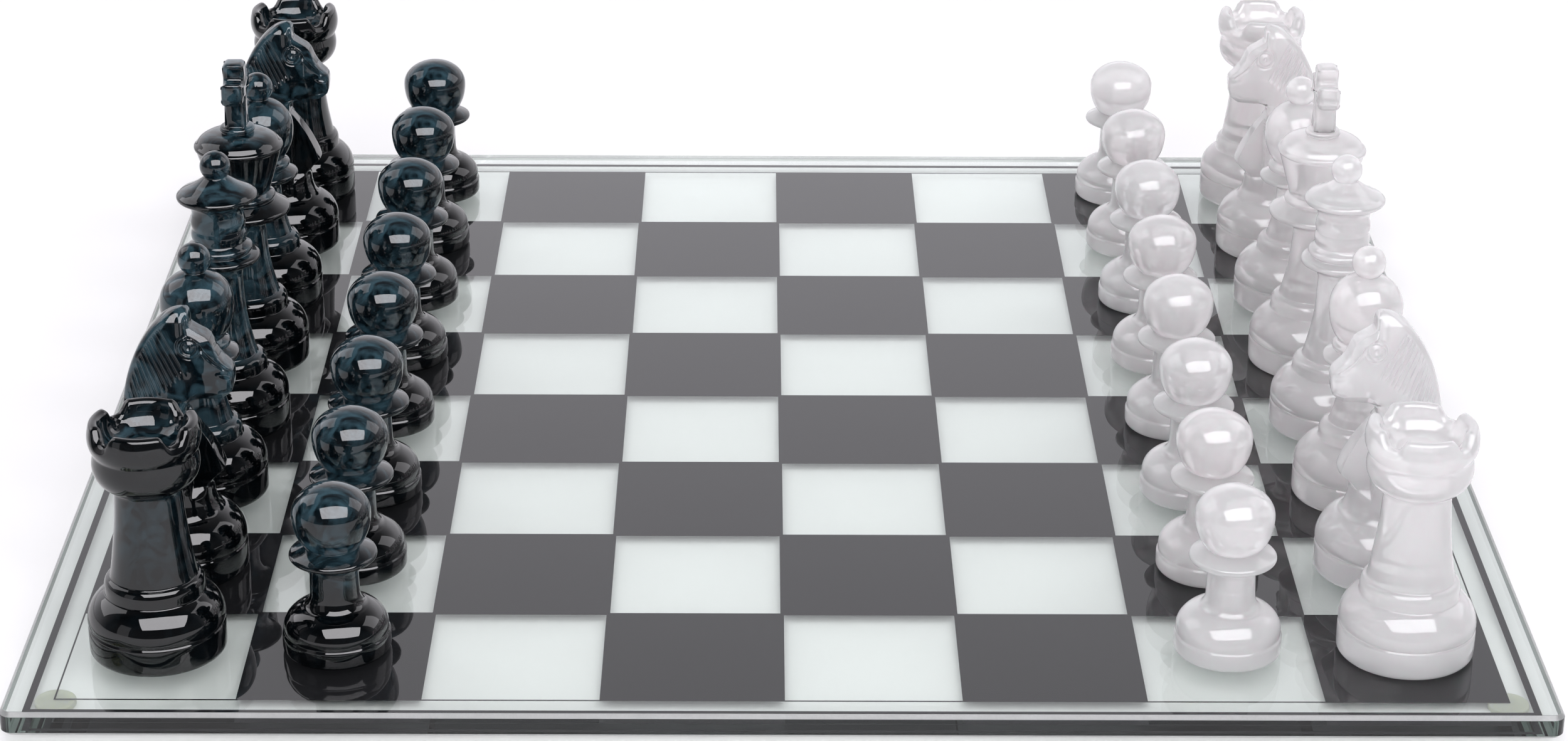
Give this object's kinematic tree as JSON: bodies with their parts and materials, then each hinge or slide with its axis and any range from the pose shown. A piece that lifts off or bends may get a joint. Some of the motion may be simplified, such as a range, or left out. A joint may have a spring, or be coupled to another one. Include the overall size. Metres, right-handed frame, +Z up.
{
  "type": "chess set with board",
  "caption": "Chess set in dark and pale cast glass, its men standing at the start of a game on a bevelled glass board with printed squares and border",
  "frame": {"origin": "centre of the board, on the surface that its pads stand on", "axes": "+Z up; the dark side stands at -X and faces +X, the pale side stands at +X and faces -X; the first file is at -Y"},
  "size_m": [0.6, 0.6, 0.1579],
  "materials": {
    "sheet_glass": "clear polished sheet, faintly green",
    "black_print": "opaque black print seen through the glass",
    "clear_pad": "translucent soft pad",
    "dark_glass": "smoky blue-black cast glass, glossy",
    "pale_glass": "milky white cast glass with a faint pink tint, glossy"
  },
  "bodies": {
    "board": {"board_glass": "sheet_glass", "dark_squares": "black_print", "border_line": "black_print", "border_band": "black_print", "pad_a_dark": "clear_pad", "pad_a_pale": "clear_pad", "pad_h_dark": "clear_pad", "pad_h_pale": "clear_pad"},
    "dark_rook_a": {"dark_rook_a": "dark_glass"},
    "dark_pawn_a": {"dark_pawn_a": "dark_glass"},
    "dark_knight_b": {"dark_knight_b": "dark_glass"},
    "dark_pawn_b": {"dark_pawn_b": "dark_glass"},
    "dark_bishop_c": {"dark_bishop_c": "dark_glass"},
    "dark_pawn_c": {"dark_pawn_c": "dark_glass"},
    "dark_queen_d": {"dark_queen_d": "dark_glass"},
    "dark_pawn_d": {"dark_pawn_d": "dark_glass"},
    "dark_king_e": {"dark_king_e": "dark_glass"},
    "dark_pawn_e": {"dark_pawn_e": "dark_glass"},
    "dark_bishop_f": {"dark_bishop_f": "dark_glass"},
    "dark_pawn_f": {"dark_pawn_f": "dark_glass"},
    "dark_knight_g": {"dark_knight_g": "dark_glass"},
    "dark_pawn_g": {"dark_pawn_g": "dark_glass"},
    "dark_rook_h": {"dark_rook_h": "dark_glass"},
    "dark_pawn_h": {"dark_pawn_h": "dark_glass"},
    "pale_rook_a": {"pale_rook_a": "pale_glass"},
    "pale_pawn_a": {"pale_pawn_a": "pale_glass"},
    "pale_knight_b": {"pale_knight_b": "pale_glass"},
    "pale_pawn_b": {"pale_pawn_b": "pale_glass"},
    "pale_bishop_c": {"pale_bishop_c": "pale_glass"},
    "pale_pawn_c": {"pale_pawn_c": "pale_glass"},
    "pale_queen_d": {"pale_queen_d": "pale_glass"},
    "pale_pawn_d": {"pale_pawn_d": "pale_glass"},
    "pale_king_e": {"pale_king_e": "pale_glass"},
    "pale_pawn_e": {"pale_pawn_e": "pale_glass"},
    "pale_bishop_f": {"pale_bishop_f": "pale_glass"},
    "pale_pawn_f": {"pale_pawn_f": "pale_glass"},
    "pale_knight_g": {"pale_knight_g": "pale_glass"},
    "pale_pawn_g": {"pale_pawn_g": "pale_glass"},
    "pale_rook_h": {"pale_rook_h": "pale_glass"},
    "pale_pawn_h": {"pale_pawn_h": "pale_glass"}
  },
  "joints": [
    {"name": "lift_dark_rook_a", "type": "slide", "parent": "board", "child": "dark_rook_a", "axis": [0, 0, 1], "range_m": [0, 0.16]},
    {"name": "lift_dark_pawn_a", "type": "slide", "parent": "board", "child": "dark_pawn_a", "axis": [0, 0, 1], "range_m": [0, 0.16]},
    {"name": "lift_dark_knight_b", "type": "slide", "parent": "board", "child": "dark_knight_b", "axis": [0, 0, 1], "range_m": [0, 0.16]},
    {"name": "lift_dark_pawn_b", "type": "slide", "parent": "board", "child": "dark_pawn_b", "axis": [0, 0, 1], "range_m": [0, 0.16]},
    {"name": "lift_dark_bishop_c", "type": "slide", "parent": "board", "child": "dark_bishop_c", "axis": [0, 0, 1], "range_m": [0, 0.16]},
    {"name": "lift_dark_pawn_c", "type": "slide", "parent": "board", "child": "dark_pawn_c", "axis": [0, 0, 1], "range_m": [0, 0.16]},
    {"name": "lift_dark_queen_d", "type": "slide", "parent": "board", "child": "dark_queen_d", "axis": [0, 0, 1], "range_m": [0, 0.16]},
    {"name": "lift_dark_pawn_d", "type": "slide", "parent": "board", "child": "dark_pawn_d", "axis": [0, 0, 1], "range_m": [0, 0.16]},
    {"name": "lift_dark_king_e", "type": "slide", "parent": "board", "child": "dark_king_e", "axis": [0, 0, 1], "range_m": [0, 0.16]},
    {"name": "lift_dark_pawn_e", "type": "slide", "parent": "board", "child": "dark_pawn_e", "axis": [0, 0, 1], "range_m": [0, 0.16]},
    {"name": "lift_dark_bishop_f", "type": "slide", "parent": "board", "child": "dark_bishop_f", "axis": [0, 0, 1], "range_m": [0, 0.16]},
    {"name": "lift_dark_pawn_f", "type": "slide", "parent": "board", "child": "dark_pawn_f", "axis": [0, 0, 1], "range_m": [0, 0.16]},
    {"name": "lift_dark_knight_g", "type": "slide", "parent": "board", "child": "dark_knight_g", "axis": [0, 0, 1], "range_m": [0, 0.16]},
    {"name": "lift_dark_pawn_g", "type": "slide", "parent": "board", "child": "dark_pawn_g", "axis": [0, 0, 1], "range_m": [0, 0.16]},
    {"name": "lift_dark_rook_h", "type": "slide", "parent": "board", "child": "dark_rook_h", "axis": [0, 0, 1], "range_m": [0, 0.16]},
    {"name": "lift_dark_pawn_h", "type": "slide", "parent": "board", "child": "dark_pawn_h", "axis": [0, 0, 1], "range_m": [0, 0.16]},
    {"name": "lift_pale_rook_a", "type": "slide", "parent": "board", "child": "pale_rook_a", "axis": [0, 0, 1], "range_m": [0, 0.16]},
    {"name": "lift_pale_pawn_a", "type": "slide", "parent": "board", "child": "pale_pawn_a", "axis": [0, 0, 1], "range_m": [0, 0.16]},
    {"name": "lift_pale_knight_b", "type": "slide", "parent": "board", "child": "pale_knight_b", "axis": [0, 0, 1], "range_m": [0, 0.16]},
    {"name": "lift_pale_pawn_b", "type": "slide", "parent": "board", "child": "pale_pawn_b", "axis": [0, 0, 1], "range_m": [0, 0.16]},
    {"name": "lift_pale_bishop_c", "type": "slide", "parent": "board", "child": "pale_bishop_c", "axis": [0, 0, 1], "range_m": [0, 0.16]},
    {"name": "lift_pale_pawn_c", "type": "slide", "parent": "board", "child": "pale_pawn_c", "axis": [0, 0, 1], "range_m": [0, 0.16]},
    {"name": "lift_pale_queen_d", "type": "slide", "parent": "board", "child": "pale_queen_d", "axis": [0, 0, 1], "range_m": [0, 0.16]},
    {"name": "lift_pale_pawn_d", "type": "slide", "parent": "board", "child": "pale_pawn_d", "axis": [0, 0, 1], "range_m": [0, 0.16]},
    {"name": "lift_pale_king_e", "type": "slide", "parent": "board", "child": "pale_king_e", "axis": [0, 0, 1], "range_m": [0, 0.16]},
    {"name": "lift_pale_pawn_e", "type": "slide", "parent": "board", "child": "pale_pawn_e", "axis": [0, 0, 1], "range_m": [0, 0.16]},
    {"name": "lift_pale_bishop_f", "type": "slide", "parent": "board", "child": "pale_bishop_f", "axis": [0, 0, 1], "range_m": [0, 0.16]},
    {"name": "lift_pale_pawn_f", "type": "slide", "parent": "board", "child": "pale_pawn_f", "axis": [0, 0, 1], "range_m": [0, 0.16]},
    {"name": "lift_pale_knight_g", "type": "slide", "parent": "board", "child": "pale_knight_g", "axis": [0, 0, 1], "range_m": [0, 0.16]},
    {"name": "lift_pale_pawn_g", "type": "slide", "parent": "board", "child": "pale_pawn_g", "axis": [0, 0, 1], "range_m": [0, 0.16]},
    {"name": "lift_pale_rook_h", "type": "slide", "parent": "board", "child": "pale_rook_h", "axis": [0, 0, 1], "range_m": [0, 0.16]},
    {"name": "lift_pale_pawn_h", "type": "slide", "parent": "board", "child": "pale_pawn_h", "axis": [0, 0, 1], "range_m": [0, 0.16]}
  ]
}
